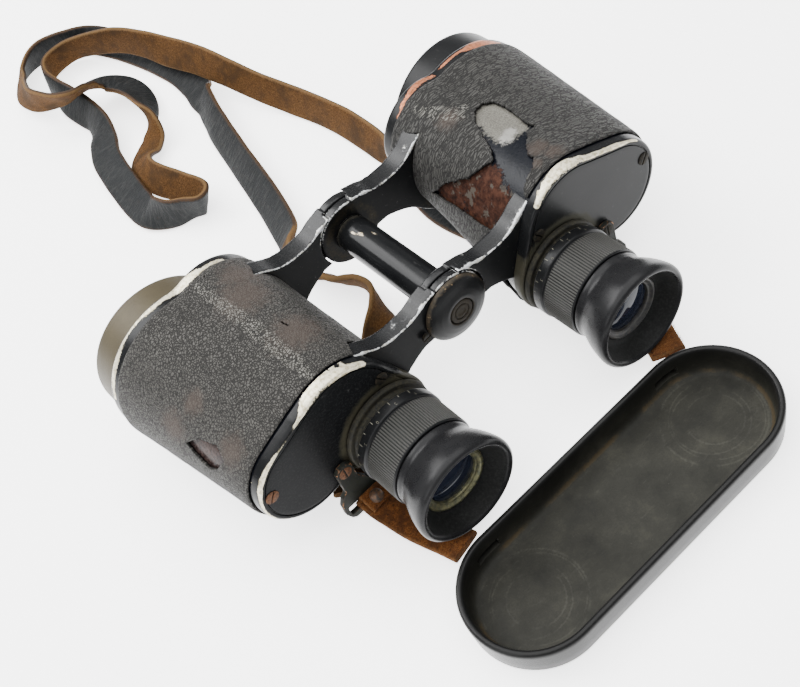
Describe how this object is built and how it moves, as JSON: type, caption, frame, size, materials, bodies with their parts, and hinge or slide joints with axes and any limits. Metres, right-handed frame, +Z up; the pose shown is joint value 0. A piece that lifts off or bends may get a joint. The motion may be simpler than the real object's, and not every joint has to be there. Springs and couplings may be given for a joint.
{
  "type": "porro prism binoculars with rain guard and neck strap",
  "caption": "Old black field binoculars with worn leatherette, tied-on eyepiece rain guard and a loose leather neck strap.",
  "frame": {"origin": "on the supporting surface, midway along the length and across the width of the binoculars and guard, below the hinge", "axes": "+Z up; +Y towards the objectives, parallel to the hinge and the optical axes; +X towards the right barrel as the viewer looks through it"},
  "size_m": [0.1664, 0.344, 0.0532],
  "materials": {
    "painted_casting": "satin",
    "leatherette": "matte",
    "screw_steel": "satin",
    "blackened_brass": "satin",
    "black_lacquer_brass": "gloss",
    "black_lacquer_ring": "satin",
    "olive_lacquer_ring": "satin",
    "painted_steel": "satin",
    "lens_glass": "polished",
    "bakelite": "gloss",
    "suede_strap": "matte",
    "strap_leather": "matte"
  },
  "bodies": {
    "left_barrel": {"left_housing": "painted_casting", "left_leather": "leatherette", "left_rear_cover": "painted_casting", "left_cover_screw_1": "screw_steel", "left_cover_screw_2": "screw_steel", "left_cover_screw_3": "screw_steel", "left_front_cover": "painted_casting", "left_objective_cell": "blackened_brass", "left_objective_crown_lens": "lens_glass", "left_objective_flint_lens": "lens_glass", "left_objective_ring": "olive_lacquer_ring", "left_prism_shelf": "painted_casting", "left_rear_prism": "lens_glass", "left_front_prism": "lens_glass", "left_rear_prism_clip": "screw_steel", "left_front_prism_clip": "screw_steel", "left_eyepiece_base": "blackened_brass", "left_strap_lug": "painted_steel", "hinge_tube": "black_lacquer_brass", "hinge_axle": "screw_steel", "hinge_disc": "painted_steel", "hinge_nut": "blackened_brass", "hinge_front_cap": "painted_steel", "hinge_stop_screw": "screw_steel", "neck_strap": "strap_leather"},
    "right_barrel": {"right_housing": "painted_casting", "right_leather": "leatherette", "right_rear_cover": "painted_casting", "right_cover_screw_1": "screw_steel", "right_cover_screw_2": "screw_steel", "right_cover_screw_3": "screw_steel", "right_front_cover": "painted_casting", "right_objective_cell": "blackened_brass", "right_objective_crown_lens": "lens_glass", "right_objective_flint_lens": "lens_glass", "right_objective_ring": "black_lacquer_ring", "right_prism_shelf": "painted_casting", "right_rear_prism": "lens_glass", "right_front_prism": "lens_glass", "right_rear_prism_clip": "screw_steel", "right_front_prism_clip": "screw_steel", "right_eyepiece_base": "blackened_brass", "right_strap_lug": "painted_steel"},
    "left_ocular": {"left_ocular_tube": "blackened_brass", "left_field_lens": "lens_glass", "left_eye_lens": "lens_glass"},
    "left_focus": {"left_focus_ring": "black_lacquer_brass", "left_eyecup": "bakelite"},
    "right_ocular": {"right_ocular_tube": "blackened_brass", "right_field_lens": "lens_glass", "right_eye_lens": "lens_glass"},
    "right_focus": {"right_focus_ring": "black_lacquer_brass", "right_eyecup": "bakelite"},
    "guard": {"rain_guard": "bakelite", "left_guard_strap": "suede_strap", "left_strap_stud": "painted_steel", "right_guard_strap": "suede_strap", "right_strap_stud": "painted_steel"}
  },
  "joints": [
    {"name": "ipd_hinge", "type": "hinge", "parent": "left_barrel", "child": "right_barrel", "pos_m": [0, 0.029, 0.0358], "axis": [0, 1, 0], "range_deg": [-42, 35], "deforming": ["neck_strap", "right_guard_strap"]},
    {"name": "left_focus_slide", "type": "slide", "parent": "left_barrel", "child": "left_ocular", "axis": [0, 1, 0], "range_m": [-0.0025, 0.0025]},
    {"name": "left_focus_turn", "type": "hinge", "parent": "left_ocular", "child": "left_focus", "pos_m": [-0.0336, -0.016, 0.0226], "axis": [0, 1, 0], "range_deg": [-120, 120]},
    {"name": "right_focus_slide", "type": "slide", "parent": "right_barrel", "child": "right_ocular", "axis": [0, 1, 0], "range_m": [-0.0038, 0.0012]},
    {"name": "right_focus_turn", "type": "hinge", "parent": "right_ocular", "child": "right_focus", "pos_m": [0.0336, -0.0147, 0.0226], "axis": [0, 1, 0], "range_deg": [-182, 57]},
    {"name": "guard_swing", "type": "hinge", "parent": "left_barrel", "child": "guard", "pos_m": [0, -0.003, 0.0054], "axis": [1, 0, 0], "range_deg": [0, 90]}
  ],
  "couplings": [
    {"joint": "left_focus_slide", "follows": "left_focus_turn", "m_per_rad": 0.00119},
    {"joint": "right_focus_slide", "follows": "right_focus_turn", "m_per_rad": 0.00119}
  ]
}
